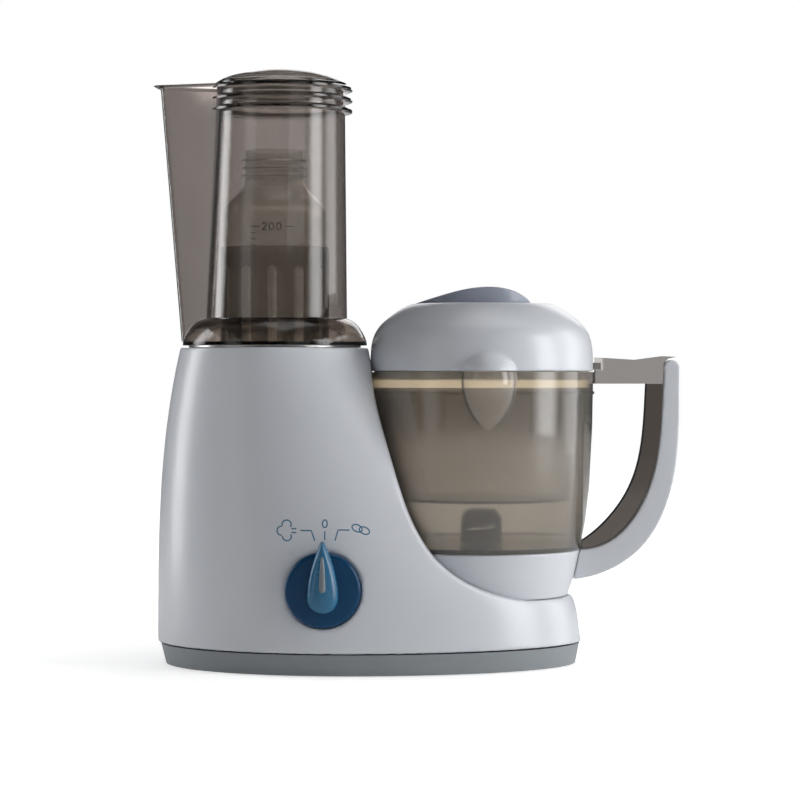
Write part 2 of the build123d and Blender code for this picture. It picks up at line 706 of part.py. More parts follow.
with BuildPart() as steam_port:
    with BuildSketch(Plane(origin=(bowl_x - 70.0, mid_y, nozzle_z), z_dir=(-1, 0, 0))):
        Circle(5.4)
        Circle(3.4, mode=Mode.SUBTRACT)
    extrude(amount=3.6)
save("steam_port", steam_port)

cap_low = lid_top + 0.2
cap_back = [(-1.0, cap_low), (20.0, cap_low + 6.2), (48.5, cap_low + 10.7), (66.0, cap_low + 7.4), (76.4, cap_low)]
with BuildPart() as lid_cap:
    with BuildSketch(upright(0, -26)):
        with BuildLine():
            Spline(*cap_back)
            Line(cap_back[-1], cap_back[0])
        make_face()
    extrude(amount=-52)
    with BuildSketch(level(cap_low, 37.7)):
        Ellipse(38.6, 24.0)
    extrude(amount=20, mode=Mode.INTERSECT)
    extrude(disc(229.5, bowl_x, 15.6), amount=cap_low - 229.5)
save("lid_cap", lid_cap)

# ---------------------------------------------------------------- bottle warmer on the column
dish_low = column_top + 1.4
with BuildPart() as dish_gasket:
    revolve(ring_outline(column_x, 53.0, 56.6, column_top + 1.0, dish_low - 0.05), axis=vertical(column_x))
save("dish_gasket", dish_gasket)

dish_top = hood_bottom - 0.3
with BuildPart() as steam_dish:
    with BuildSketch(upright(column_x)):
        with BuildLine():
            Spline((61.0, dish_low + 0.2), (60.2, 214.5), (56.4, 221.6), (47.6, dish_top),
                   tangents=[(0, 1), (-1, 0.35)])
            Polyline((47.6, dish_top), (41.0, dish_top), (41.0, dish_top - 2.0), (46.8, dish_top - 2.0))
            Spline((46.8, dish_top - 2.0), (54.9, 220.2), (58.4, 214.0), (59.0, dish_low + 2.0))
            Polyline((59.0, dish_low + 2.0), (53.0, dish_low + 2.0), (53.0, dish_low), (61.0, dish_low),
                     (61.0, dish_low + 0.2))
        make_face()
    revolve(axis=vertical(column_x))
    with BuildSketch(level(212, column_x - 53.5)):
        SlotOverall(20, 4, rotation=90)
    extrude(amount=20, mode=Mode.SUBTRACT)
save("steam_dish", steam_dish)

arch_count = 7
arch_r = 47.0
with BuildPart() as arch_ring:
    revolve(ring_outline(column_x, arch_r - 1.2, arch_r, dish_low + 0.2, dish_low + 14.6), axis=vertical(column_x))
    revolve(ring_outline(column_x, 41.5, arch_r, dish_low + 13.6, dish_low + 15.0), axis=vertical(column_x))
    for arch in range(arch_count):
        angle = 360 / arch_count * arch - 90
        with BuildSketch(
            Plane(
                origin=(column_x, mid_y, 0),
                x_dir=(-sin(radians(angle)), cos(radians(angle)), 0),
                z_dir=(cos(radians(angle)), sin(radians(angle)), 0),
            ).offset(40)
        ):
            with Locations((0, 211.0)):
                Ellipse(18.5, 10.0)
        extrude(amount=15, mode=Mode.SUBTRACT)
save("arch_ring", arch_ring)

wing_half = 32.0
nose_half = 5.5


def wing(height, nose_left, inset):
    """Plan of the filling chute: straight sides from the hood to a rounded nose on the left."""
    with BuildSketch(level(height, column_x)) as face:
        reach = nose_left - column_x
        Polygon(
            (0, wing_half - inset), (reach + inset, nose_half - inset),
            (reach + inset, inset - nose_half), (0, inset - wing_half), align=None,
        )
        nose = face.vertices().group_by(Axis.X)[0]
        fillet(nose, (nose_half - inset) * 0.9)
    return face.sketch


def wing_sections(inset, low, high):
    """Plans of the chute at two heights; its nose leans out towards the top."""
    nose_low = -155.6
    nose_high = -169.4
    lean = (nose_high - nose_low) / (hood_top - wing_low)
    return [wing(height, nose_low + lean * (height - wing_low), inset) for height in (low, high)]


def tube_place(height):
    """Centre x and outer radius of the hood's tube at a height."""
    rise = (height - hood_bottom) / (hood_top - hood_bottom)
    centre = hood_foot_x + (hood_mouth_x - hood_foot_x) * rise
    return centre, hood_foot_r + (hood_mouth_r - hood_foot_r) * rise


def tube_sections(inset, low, high):
    """Round plans of the tube at two heights."""
    return [disc(height, tube_place(height)[0], tube_place(height)[1] - inset) for height in (low, high)]


def dish_clearance():
    """The space that the dish takes up inside the hood's foot, as an outline to revolve."""
    with BuildSketch(upright(column_x)) as face:
        with BuildLine():
            Polyline((0, 200), (61.3, 200), (61.3, dish_low + 0.2))
            Spline((61.3, dish_low + 0.2), (60.6, 214.8), (56.7, 222.0), (47.7, dish_top + 0.35))
            Polyline((47.7, dish_top + 0.35), (0, dish_top + 0.35), (0, 200))
        make_face()
    return face.sketch


wing_low = 213.0
flange_r = 47.4
with BuildPart() as hood_shell:
    loft(sections=wing_sections(0, wing_low, hood_top))
    for flange_z in (366.2, 373.4, 380.6):
        flange_x, tube_r = tube_place(flange_z)
        revolve(
            outline(flange_x, [(tube_r - 1.4, flange_z), (flange_r, flange_z - 1.6), (flange_r, flange_z - 0.2),
                               (tube_r + 2.0, flange_z + 1.4), (tube_r - 1.4, flange_z + 1.4)]),
            axis=vertical(flange_x),
        )
    loft(sections=[wing(hood_top - 2.0, -169.6, -0.6), wing(hood_top, -172.3, -1.6)])
    loft(sections=wing_sections(skin, 205.0, hood_top + 5), mode=Mode.SUBTRACT)
    loft(sections=tube_sections(0, hood_bottom, hood_top))
    loft(sections=tube_sections(skin, hood_bottom - 10, hood_top + 5), mode=Mode.SUBTRACT)
    revolve(dish_clearance(), axis=vertical(column_x), mode=Mode.SUBTRACT)
save("hood_shell", hood_shell)

lid_low = hood_top + 0.3
skirt_r = hood_mouth_r - skin - 0.4
with BuildPart() as hood_lid:
    with BuildSketch(upright(hood_mouth_x)):
        with BuildLine():
            Spline((0, 394.0), (30.0, 389.6), (hood_mouth_r + 1.6, lid_low + 1.0), tangents=[(1, 0), (1, -0.75)])
            Polyline((hood_mouth_r + 1.6, lid_low + 1.0), (hood_mouth_r + 1.6, lid_low), (skirt_r, lid_low),
                     (skirt_r, 364.5), (skirt_r - 1.8, 364.5), (skirt_r - 1.8, 381.8))
            Spline((skirt_r - 1.8, 381.8), (28.0, 388.2), (0, 392.2))
            Line((0, 392.2), (0, 394.0))
        make_face()
    revolve(axis=vertical(hood_mouth_x))
    for groove_z in (366.0, 376.0):
        revolve(ring_outline(hood_mouth_x, skirt_r - 0.8, skirt_r + 0.8, groove_z, groove_z + 2.2),
                axis=vertical(hood_mouth_x), mode=Mode.SUBTRACT)
save("hood_lid", hood_lid)

with BuildPart() as hood_lid_rings:
    for groove_z in (366.0, 376.0):
        revolve(ring_outline(hood_mouth_x, skirt_r - 0.75, skirt_r + 0.25, groove_z + 0.1, groove_z + 2.1),
                axis=vertical(hood_mouth_x))
save("hood_lid_rings", hood_lid_rings)

# ---------------------------------------------------------------- bottle and its lifting basket
bottle_low = 192.0
bottle_high = 339.0
bottle_r = 34.0
neck_low = 320.0
neck_r = 20.0
glass = 1.6  # wall of the bottle
basket_inner_r, basket_outer_r = 34.4, 35.9
with BuildPart() as bottle:
    with BuildSketch(upright(column_x)):
        with BuildLine():
            Polyline((0, bottle_low), (bottle_r - 3, bottle_low), (bottle_r, bottle_low + 3), (bottle_r, 297.0))
            Spline((bottle_r, 297.0), (29.6, 306.0), (22.5, 313.5), (neck_r, neck_low), tangents=[(0, 1), (0, 1)])
            Polyline((neck_r, neck_low), (neck_r, bottle_high), (neck_r - glass, bottle_high),
                     (neck_r - glass, neck_low))
            Spline((neck_r - glass, neck_low), (21.0, 312.8), (28.2, 305.0), (bottle_r - glass, 296.6))
            Polyline((bottle_r - glass, 296.6), (bottle_r - glass, bottle_low + 3.5),
                     (bottle_r - 4, bottle_low + 1.8), (0, bottle_low + 1.8), (0, bottle_low))
        make_face()
    revolve(axis=vertical(column_x))
    for thread_z in (321.0, 326.2, 331.4):
        revolve(
            outline(column_x, [(neck_r - 0.6, thread_z), (neck_r + glass, thread_z + 0.9),
                               (neck_r + glass, thread_z + 1.7), (neck_r - 0.6, thread_z + 2.6)]),
            axis=vertical(column_x),
        )
save("bottle", bottle)

basket_foot = tank_bottom + 1.3
with BuildPart() as bottle_basket:
    revolve(
        outline(column_x, [(28.0, 188.0), (basket_outer_r, 188.0), (basket_outer_r, 275.0), (basket_inner_r, 275.0),
                           (basket_inner_r, 191.0), (28.0, 191.0)]),
        axis=vertical(column_x),
    )
    with BuildSketch(level(basket_foot, column_x)):
        with PolarLocations(32.0, 4, start_angle=45):
            RectangleRounded(5, 5, 1)
    extrude(amount=188.5 - basket_foot)
    from_left = Plane(origin=(column_x - 50, mid_y, 0), x_dir=(0, -1, 0), z_dir=(-1, 0, 0))
    for side_plane in (upright(column_x, -50), from_left):
        with BuildSketch(side_plane):
            with Locations((0, 232)):
                with GridLocations(17, 0, 3, 1):
                    SlotOverall(60, 6, rotation=90)
        extrude(amount=-100, mode=Mode.SUBTRACT)
save("bottle_basket", bottle_basket)
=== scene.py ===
"""Looks of the baby food maker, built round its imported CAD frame.

Everything is in metres in the frame's own axes: +Z is up and the front, with the knob, faces -Y.
"""

import math

import bmesh
import bpy
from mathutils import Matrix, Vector
from mathutils.bvhtree import BVHTree


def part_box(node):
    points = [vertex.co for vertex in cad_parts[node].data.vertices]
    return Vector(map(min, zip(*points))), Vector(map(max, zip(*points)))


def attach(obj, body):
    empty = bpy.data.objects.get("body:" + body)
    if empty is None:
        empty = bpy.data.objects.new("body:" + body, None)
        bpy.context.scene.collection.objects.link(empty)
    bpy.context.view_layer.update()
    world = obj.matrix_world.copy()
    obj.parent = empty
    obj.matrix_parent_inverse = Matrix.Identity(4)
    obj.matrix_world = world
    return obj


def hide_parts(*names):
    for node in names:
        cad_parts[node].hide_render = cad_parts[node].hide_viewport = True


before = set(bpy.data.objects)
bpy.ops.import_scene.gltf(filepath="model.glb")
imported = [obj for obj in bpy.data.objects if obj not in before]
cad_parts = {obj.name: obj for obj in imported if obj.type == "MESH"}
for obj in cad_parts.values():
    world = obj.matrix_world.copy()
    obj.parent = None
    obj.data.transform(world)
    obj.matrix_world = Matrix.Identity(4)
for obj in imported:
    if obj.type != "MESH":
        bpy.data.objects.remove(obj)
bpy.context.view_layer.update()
MM = 0.001


# ---------------------------------------------------------------- places read from the frame
def middle(node):
    """Centre of a CAD node's box."""
    low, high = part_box(node)
    return (Vector(low) + Vector(high)) / 2


COLUMN = middle("boiler_tank")  # axis of the steam column
BOWL = middle("bowl_collar")  # axis of the bowl
MID_Y = COLUMN.y


# ---------------------------------------------------------------- camera, floor and light
CAMERA_DISTANCE = 1.7
CAMERA_HEIGHT = 0.194
CAMERA_X = -0.0108
CAMERA_TILT = math.radians(0.67)
CAMERA_LENS = 115.2

camera_data = bpy.data.cameras.new("camera")
camera_data.lens = CAMERA_LENS
camera_data.sensor_width = 36.0
camera = bpy.data.objects.new("camera", camera_data)
camera.location = (CAMERA_X, MID_Y - CAMERA_DISTANCE, CAMERA_HEIGHT)
camera.rotation_euler = (math.radians(90) - CAMERA_TILT, 0, 0)
bpy.context.collection.objects.link(camera)
bpy.context.scene.camera = camera
bpy.context.scene.view_settings.view_transform = "Standard"


def facing(place, target):
    """Rotation that turns a lamp's or panel's -Z towards a target."""
    return (Vector(target) - Vector(place)).to_track_quat("-Z", "Y").to_euler()


def soft_light(name, place, target, width, height, power):
    """Rectangular studio light that faces a target."""
    data = bpy.data.lights.new(name, "AREA")
    data.shape = "RECTANGLE"
    data.size = width
    data.size_y = height
    data.energy = power
    lamp = bpy.data.objects.new(name, data)
    lamp.location = place
    lamp.rotation_euler = facing(place, target)
    bpy.context.collection.objects.link(lamp)


def soft_panel(name, place, target, width, height, strength):
    """Studio panel whose light fades out towards its upright edges, unseen by the camera."""
    mesh = bmesh.new()
    bmesh.ops.create_grid(mesh, x_segments=1, y_segments=1, size=0.5)
    data = bpy.data.meshes.new(name)
    mesh.to_mesh(data)
    mesh.free()
    panel = bpy.data.objects.new(name, data)
    panel.location = place
    panel.rotation_euler = facing(place, target)
    panel.scale = (width, height, 1)
    panel.visible_camera = False
    panel.visible_transmission = False
    panel.visible_shadow = False
    bpy.context.collection.objects.link(panel)
    glow = bpy.data.materials.new(name)
    glow.use_nodes = True
    tree = glow.node_tree
    tree.nodes.clear()
    spot = tree.nodes.new("ShaderNodeTexCoord")
    split = tree.nodes.new("ShaderNodeSeparateXYZ")
    fade = tree.nodes.new("ShaderNodeMapRange")
    fade.interpolation_type = "SMOOTHERSTEP"
    fade.inputs["From Min"].default_value = 0.5
    fade.inputs["From Max"].default_value = 0.05
    fade.inputs["To Max"].default_value = strength
    aside = tree.nodes.new("ShaderNodeMath")
    aside.operation = "ABSOLUTE"
    emission = tree.nodes.new("ShaderNodeEmission")
    output = tree.nodes.new("ShaderNodeOutputMaterial")
    tree.links.new(spot.outputs["Object"], split.inputs["Vector"])
    tree.links.new(split.outputs["X"], aside.inputs[0])
    tree.links.new(aside.outputs["Value"], fade.inputs["Value"])
    tree.links.new(fade.outputs["Result"], emission.inputs["Strength"])
    tree.links.new(emission.outputs["Emission"], output.inputs["Surface"])
    data.materials.append(glow)


STUDIO_TARGET = (0, 0, 0.2)
FILL_TARGET = (0, 0, 0.15)
COLUMN_TARGET = (-0.09, 0, 0.2)
soft_light("front_fill", (1.3, -2.2, 1.0), FILL_TARGET, 1.4, 1.0, 2.4)
soft_light("top_softbox", (0.15, -0.1, 1.8), STUDIO_TARGET, 1.2, 1.0, 5.0)
soft_light("back_fill", (0.3, 2.3, 1.1), FILL_TARGET, 1.4, 1.0, 7.0)
soft_panel("right_key", (1.40, -0.58, 0.5), STUDIO_TARGET, 1.1, 1.3, 5.9)
soft_panel("right_side", (1.45, 0.35, 0.45), STUDIO_TARGET, 1.3, 1.3, 2.6)
soft_panel("left_side", (-1.35, 0.36, 0.45), COLUMN_TARGET, 0.85, 1.3, 4.6)
soft_panel("left_front", (-1.2, -0.9, 0.5), STUDIO_TARGET, 0.9, 1.3, 0.8)


def studio_world():
    """White surroundings behind the object and through its clear parts, and a dim even light on it."""
    world = bpy.data.worlds.new("studio")
    world.use_nodes = True
    tree = world.node_tree
    dim = tree.nodes["Background"]
    dim.inputs["Color"].default_value = (0.86, 0.90, 1.0, 1)
    dim.inputs["Strength"].default_value = 0.04
    bright = tree.nodes.new("ShaderNodeBackground")
    bright.inputs["Color"].default_value = (1, 1, 1, 1)
    bright.inputs["Strength"].default_value = 1.0
    path = tree.nodes.new("ShaderNodeLightPath")
    either = tree.nodes.new("ShaderNodeMath")
    either.operation = "MAXIMUM"
    mixed = tree.nodes.new("ShaderNodeMixShader")
    tree.links.new(path.outputs["Is Camera Ray"], either.inputs[0])
    tree.links.new(path.outputs["Is Transmission Ray"], either.inputs[1])
    tree.links.new(either.outputs["Value"], mixed.inputs["Fac"])
    tree.links.new(dim.outputs["Background"], mixed.inputs[1])
    tree.links.new(bright.outputs["Background"], mixed.inputs[2])
    tree.links.new(mixed.outputs["Shader"], tree.nodes["World Output"].inputs["Surface"])
    bpy.context.scene.world = world


FLOOR_RADIUS = 4.0
FLOOR_NEAR, FLOOR_FAR = 0.2, 0.6  # the floor brightens between these distances from the origin
FLOOR_NEAR_GLOW, FLOOR_FAR_GLOW = 0.55, 1.0
FLOOR_LIGHT_SHARE = 0.12  # share of that glow that lights or is mirrored in the object


def studio_floor():
    """Round pale floor, wide enough for a view from any side."""
    mesh = bmesh.new()
    bmesh.ops.create_circle(mesh, cap_ends=True, segments=96, radius=FLOOR_RADIUS)
    data = bpy.data.meshes.new("studio_floor")
    mesh.to_mesh(data)
    mesh.free()
    floor = bpy.data.objects.new("studio_floor", data)
    bpy.context.collection.objects.link(floor)
    pale = bpy.data.materials.new("pale_floor")
    pale.use_nodes = True
    tree = pale.node_tree
    shader = tree.nodes["Principled BSDF"]
    shader.inputs["Base Color"].default_value = (0.9, 0.9, 0.9, 1)
    shader.inputs["Roughness"].default_value = 0.9
    shader.inputs["Specular IOR Level"].default_value = 0.1
    shader.inputs["Emission Color"].default_value = (1, 1, 1, 1)
    place = tree.nodes.new("ShaderNodeTexCoord")
    away = tree.nodes.new("ShaderNodeVectorMath")
    away.operation = "LENGTH"
    brighter = tree.nodes.new("ShaderNodeMapRange")
    brighter.inputs["From Min"].default_value = FLOOR_NEAR
    brighter.inputs["From Max"].default_value = FLOOR_FAR
    brighter.inputs["To Min"].default_value = FLOOR_NEAR_GLOW
    brighter.inputs["To Max"].default_value = FLOOR_FAR_GLOW
    path = tree.nodes.new("ShaderNodeLightPath")
    seen = tree.nodes.new("ShaderNodeMath")
    seen.operation = "MAXIMUM"
    share = tree.nodes.new("ShaderNodeMapRange")
    share.inputs["To Min"].default_value = FLOOR_LIGHT_SHARE
    strength = tree.nodes.new("ShaderNodeMath")
    strength.operation = "MULTIPLY"
    tree.links.new(place.outputs["Object"], away.inputs[0])
    tree.links.new(away.outputs["Value"], brighter.inputs["Value"])
    tree.links.new(path.outputs["Is Camera Ray"], seen.inputs[0])
    tree.links.new(path.outputs["Is Transmission Ray"], seen.inputs[1])
    tree.links.new(seen.outputs["Value"], share.inputs["Value"])
    tree.links.new(brighter.outputs["Result"], strength.inputs[0])
    tree.links.new(share.outputs["Result"], strength.inputs[1])
    tree.links.new(strength.outputs["Value"], shader.inputs["Emission Strength"])
    data.materials.append(pale)


studio_world()
studio_floor()


# ---------------------------------------------------------------- materials
def noise(tree, scale, detail=3.0, stretch=(1, 1, 1)):
    """Noise over the object's own coordinates, in features per metre."""
    place = tree.nodes.new("ShaderNodeTexCoord")
    mapping = tree.nodes.new("ShaderNodeMapping")
    mapping.inputs["Scale"].default_value = stretch
    texture = tree.nodes.new("ShaderNodeTexNoise")
    texture.inputs["Scale"].default_value = scale
    texture.inputs["Detail"].default_value = detail
    tree.links.new(place.outputs["Object"], mapping.inputs["Vector"])
    tree.links.new(mapping.outputs["Vector"], texture.inputs["Vector"])
    return texture.outputs["Fac"]


def spread(tree, value, low, high):
    """Noise stretched to run from low to high."""
    node = tree.nodes.new("ShaderNodeMapRange")
    node.inputs["From Min"].default_value = 0.3
    node.inputs["From Max"].default_value = 0.7
    node.inputs["To Min"].default_value = low
    node.inputs["To Max"].default_value = high
    tree.links.new(value, node.inputs["Value"])
    return node.outputs["Result"]


def material(
    name, colour, rough, drift=0.03, rough_drift=0.05, grain=(900.0, 0.02), stretch=(1, 1, 1), **sockets
):
    """Moulded or metal surface: a base colour that drifts a little, uneven gloss and a fine grain."""
    made = bpy.data.materials.new(name)
    made.use_nodes = True
    tree = made.node_tree
    shader = tree.nodes["Principled BSDF"]
    ramp = tree.nodes.new("ShaderNodeValToRGB")
    ramp.color_ramp.elements[0].position = 0.3
    ramp.color_ramp.elements[1].position = 0.7
    ramp.color_ramp.elements[0].color = (*[c * (1 - drift) for c in colour], 1)
    ramp.color_ramp.elements[1].color = (*[min(c * (1 + drift), 1) for c in colour], 1)
    tree.links.new(noise(tree, 26.0, 4.0, stretch), ramp.inputs["Fac"])
    tree.links.new(ramp.outputs["Color"], shader.inputs["Base Color"])
    uneven = noise(tree, 75.0, 3.0, stretch)
    tree.links.new(spread(tree, uneven, rough - rough_drift, rough + rough_drift), shader.inputs["Roughness"])
    grain_scale, grain_depth = grain
    bump = tree.nodes.new("ShaderNodeBump")
    bump.inputs["Strength"].default_value = grain_depth
    bump.inputs["Distance"].default_value = 0.0004
    tree.links.new(noise(tree, grain_scale, 2.0, stretch), bump.inputs["Height"])
    tree.links.new(bump.outputs["Normal"], shader.inputs["Normal"])
    for socket, value in sockets.items():
        shader.inputs[socket.replace("_", " ")].default_value = value
    return made


def tinted(name, colour, density, rough, haze=0.0, surface=(0.90, 0.88, 0.86), ior=1.46, **sockets):
    """Clear plastic, darker where it is thicker: density is per metre of wall, haze is its milky share."""
    made = material(name, surface, rough, drift=0.015, rough_drift=rough / 3, grain=(260.0, 0.01),
                    Transmission_Weight=1.0 - haze, IOR=ior, **sockets)
    tree = made.node_tree
    absorb = tree.nodes.new("ShaderNodeVolumeAbsorption")
    absorb.inputs["Color"].default_value = (*colour, 1)
    absorb.inputs["Density"].default_value = density
    tree.links.new(absorb.outputs["Volume"], tree.nodes["Material Output"].inputs["Volume"])
    return made


BRUSHED = (1.0, 1.0, 24.0)
CREAM = (0.93, 0.86, 0.72)
FINISHES = {
    "white_plastic": material("white_plastic", (0.74, 0.765, 0.81), 0.30, drift=0.008, rough_drift=0.015,
                              grain=(1400.0, 0.03), Coat_Weight=0.25, Coat_Roughness=0.12),
    "grey_plastic": material("grey_plastic", (0.30, 0.325, 0.345), 0.48, grain=(1100.0, 0.12)),
    "rubber": material("rubber", (0.03, 0.03, 0.032), 0.75, grain=(700.0, 0.2)),
    "smoked_clear": tinted("smoked_clear", (0.20, 0.12, 0.06), 410.0, 0.08),
    "smoked_hood": tinted("smoked_hood", (0.20, 0.14, 0.11), 400.0, 0.06, Coat_Weight=0.4,
                          Coat_Roughness=0.03),
    "smoked_top": tinted("smoked_top", (0.20, 0.15, 0.11), 100.0, 0.06),
    "smoked_bowl": tinted("smoked_bowl", (0.26, 0.19, 0.08), 290.0, 0.17, haze=0.13,
                          surface=(0.84, 0.81, 0.76), ior=1.25, Coat_Weight=0.9, Coat_Roughness=0.06),
    "smoked_arm": tinted("smoked_arm", (0.22, 0.20, 0.19), 105.0, 0.05),
    "smoked_strut": tinted("smoked_strut", (0.22, 0.18, 0.15), 230.0, 0.05),
    "smoked_insert": tinted("smoked_insert", (0.26, 0.18, 0.10), 25.0, 0.2, haze=0.02, ior=1.12),
    "smoked_warmer": tinted("smoked_warmer", (0.20, 0.17, 0.14), 260.0, 0.5, ior=1.1),
    "clear_inlay": material("clear_inlay", (0.20, 0.23, 0.26), 0.14, grain=(900.0, 0.01), Coat_Weight=0.3),
    "printed_blue": material("printed_blue", (0.07, 0.19, 0.31), 0.5, grain=(1500.0, 0.05)),
    "printed_grey": material("printed_grey", (0.05, 0.045, 0.04), 0.6, grain=(1500.0, 0.05)),
    # painted glow: the basket's rim is given a cream emission that stands in for light, so that it shows
    # bright through the smoked wall
    "cream_plastic": material("cream_plastic", CREAM, 0.5, grain=(900.0, 0.05), Transmission_Weight=0.5,
                              Emission_Color=(*CREAM, 1), Emission_Strength=0.46),
    "silicone": material("silicone", (0.55, 0.53, 0.50), 0.5, grain=(700.0, 0.06), Subsurface_Weight=0.1),
    "blue_dial": material("blue_dial", (0.004, 0.055, 0.14), 0.22, grain=(900.0, 0.01),
                          Specular_IOR_Level=0.22, Coat_Weight=0.08, Coat_Roughness=0.05),
    "blue_pointer": material("blue_pointer", (0.02, 0.15, 0.29), 0.25, grain=(900.0, 0.02), Coat_Weight=0.25,
                             Coat_Roughness=0.08),
    "clear_lens": material("clear_lens", (0.42, 0.42, 0.41), 0.15, Transmission_Weight=0.5, IOR=1.46),
    "blue_grey_cap": material("blue_grey_cap", (0.33, 0.36, 0.44), 0.3, grain=(1200.0, 0.04)),
    "bottle_clear": material("bottle_clear", (0.80, 0.78, 0.74), 0.1, rough_drift=0.03,
                             Transmission_Weight=0.95, IOR=1.4),
    "stainless": material("stainless", (0.60, 0.60, 0.60), 0.24, grain=(1500.0, 0.15), stretch=BRUSHED,
                          Metallic=1.0),
    "machined_steel": material("machined_steel", (0.52, 0.52, 0.53), 0.3, grain=(1800.0, 0.2),
                               stretch=BRUSHED, Metallic=1.0),
    "zinc_sheet": material("zinc_sheet", (0.50, 0.51, 0.53), 0.42, drift=0.12, rough_drift=0.1, Metallic=1.0),
    "bronze": material("bronze", (0.42, 0.27, 0.12), 0.4, drift=0.08, Metallic=1.0),
    "black_nylon": material("black_nylon", (0.02, 0.02, 0.022), 0.5, grain=(800.0, 0.1)),
    "ceramic_white": material("ceramic_white", (0.72, 0.70, 0.66), 0.55, grain=(900.0, 0.1)),
    "heater_metal": material("heater_metal", (0.30, 0.27, 0.25), 0.5, drift=0.2, Metallic=1.0),
    "belt_rubber": material("belt_rubber", (0.025, 0.025, 0.025), 0.8, grain=(500.0, 0.3)),
}

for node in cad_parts.values():
    for entry in node.material_slots:
        entry.material = FINISHES[entry.material.name.split(".")[0]]

OWN_FINISH = {
    "steam_basket": "smoked_insert",
    "bottle_basket": "smoked_warmer",
    "hood_shell": "smoked_hood",
    "hood_lid": "smoked_top",
}
for name, finish in OWN_FINISH.items():
    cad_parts[name].material_slots[0].material = FINISHES[finish]


# ---------------------------------------------------------------- making pieces
def add_piece(name, data, finish, body, slot, *nodes):
    """Put a mesh in the scene as a piece that rides on a body and stands for CAD nodes."""
    for face in data.polygons:
        face.use_smooth = True
    data.name = name
    data.materials.clear()
    data.materials.append(FINISHES[finish])
    piece = bpy.data.objects.new(name, data)
    bpy.context.collection.objects.link(piece)
    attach(piece, body)
    if nodes:
        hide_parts(*nodes)
    return piece


def node_copy(node):
    """New mesh with a CAD node's shape, in the frame's own axes."""
    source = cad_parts[node]
    data = source.data.copy()
    data.transform(source.matrix_world)
    return data


def with_modifiers(data, *steps):
    """Mesh after a stack of modifiers, each given as (type, settings)."""
    carrier = bpy.data.objects.new("carrier", data)
    bpy.context.collection.objects.link(carrier)
    for kind, settings in steps:
        modifier = carrier.modifiers.new(kind.lower(), kind)
        for key, value in settings.items():
            setattr(modifier, key, value)
    seen = carrier.evaluated_get(bpy.context.evaluated_depsgraph_get())
    result = bpy.data.meshes.new_from_object(seen)
    bpy.data.objects.remove(carrier)
    return result


def eased(data, voxel, passes, keep):
    """The same solid with its edges rounded over, as a mould leaves them; keep is the share of faces kept."""
    steps = [
        ("REMESH", {"mode": "VOXEL", "voxel_size": voxel, "use_smooth_shade": True}),
        ("SMOOTH", {"factor": 0.6, "iterations": passes}),
    ]
    if keep < 1:
        steps.append(("DECIMATE", {"ratio": keep}))
    return with_modifiers(data, *steps)


def eased_piece(name, node, body, finish, voxel, passes, keep=1.0):
    """Piece that stands for one CAD node with its edges rounded over."""
    return add_piece(name, eased(node_copy(node), voxel, passes, keep), finish, body, finish, node)


def joined(first, second, operation):
    """Boolean of two closed meshes."""
    tool = bpy.data.objects.new("tool", second)
    bpy.context.collection.objects.link(tool)
    result = with_modifiers(first, ("BOOLEAN", {"operation": operation, "object": tool, "solver": "EXACT"}))
    bpy.data.objects.remove(tool)
    return result


def block(low, high):
    """Box-shaped cutting tool between two corners."""
    mesh = bmesh.new()
    bmesh.ops.create_cube(mesh, size=1.0)
    low, high = Vector(low), Vector(high)
    bmesh.ops.scale(mesh, vec=high - low, verts=mesh.verts)
    bmesh.ops.translate(mesh, vec=(low + high) / 2, verts=mesh.verts)
    data = bpy.data.meshes.new("block")
    mesh.to_mesh(data)
    mesh.free()
    return data


def lathe(outline, centre, steps=160):
    """Closed solid of revolution from (radius, height) points that start and end on the axis."""
    mesh = bmesh.new()
    rings = []
    for radius, height in outline:
        if radius == 0:
            rings.append([mesh.verts.new((centre[0], centre[1], height))])
            continue
        rings.append([
            mesh.verts.new((centre[0] + radius * math.cos(turn), centre[1] + radius * math.sin(turn), height))
            for turn in (2 * math.pi * step / steps for step in range(steps))
        ])
    for one, other in zip(rings, rings[1:]):
        for step in range(steps):
            after = (step + 1) % steps
            corners = [one[step % len(one)], one[after % len(one)],
                       other[after % len(other)], other[step % len(other)]]
            unique = list(dict.fromkeys(corners))
            if len(unique) > 2:
                mesh.faces.new(unique)
    bmesh.ops.recalc_face_normals(mesh, faces=mesh.faces)
    data = bpy.data.meshes.new("lathe")
    mesh.to_mesh(data)
    mesh.free()
    return data


def crisp(data, degrees=35):
    """Keep edges sharper than an angle crisp under smooth shading."""
    mesh = bmesh.new()
    mesh.from_mesh(data)
    for edge in mesh.edges:
        edge.smooth = len(edge.link_faces) == 2 and edge.calc_face_angle(0) < math.radians(degrees)
    mesh.to_mesh(data)
    mesh.free()
    return data


# ---------------------------------------------------------------- white housing
housing = eased_piece("housing_moulding", "main_housing", "base", "white_plastic",
                      voxel=1.25 * MM, passes=10, keep=0.45)


# ---------------------------------------------------------------- bowl, handle frame and grip
RIM_TO_WALL = 4.2 * MM  # from the basket's rim out to the bowl's outer wall
# how far the wall draws in below its top, and how high over the bowl's foot that is, in mm
WALL_TAPER = [(9.0, 0.2), (5.6, 18), (3.2, 39), (1.2, 82), (0, 101)]
FOOT_MARGIN = 2 * MM  # the core starts this far below the bowl, so that the cut is clean
FRAME_FROM_AXIS = 55 * MM  # the handle's frame is all further out than this
FRAME_MARGIN = 5 * MM
ARM_BELOW_RIM = 0.2 * MM
PAST_ALL = 0.3  # past the bowl and its handle each way, and in front of the whole object


def bowl_core():
    """Space inside the bowl's outer wall, for telling the bowl from its handle frame."""
    low, high = (Vector(corner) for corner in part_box("bowl_shell"))
    reach = middle("basket_rim").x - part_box("basket_rim")[0][0] + RIM_TO_WALL
    foot = low.z - FOOT_MARGIN
    wall = [(reach - drawn_in * MM, low.z + height * MM) for drawn_in, height in WALL_TAPER]
    return lathe([(0, foot), (wall[0][0], foot), *wall, (reach, high.z), (0, high.z)], BOWL)


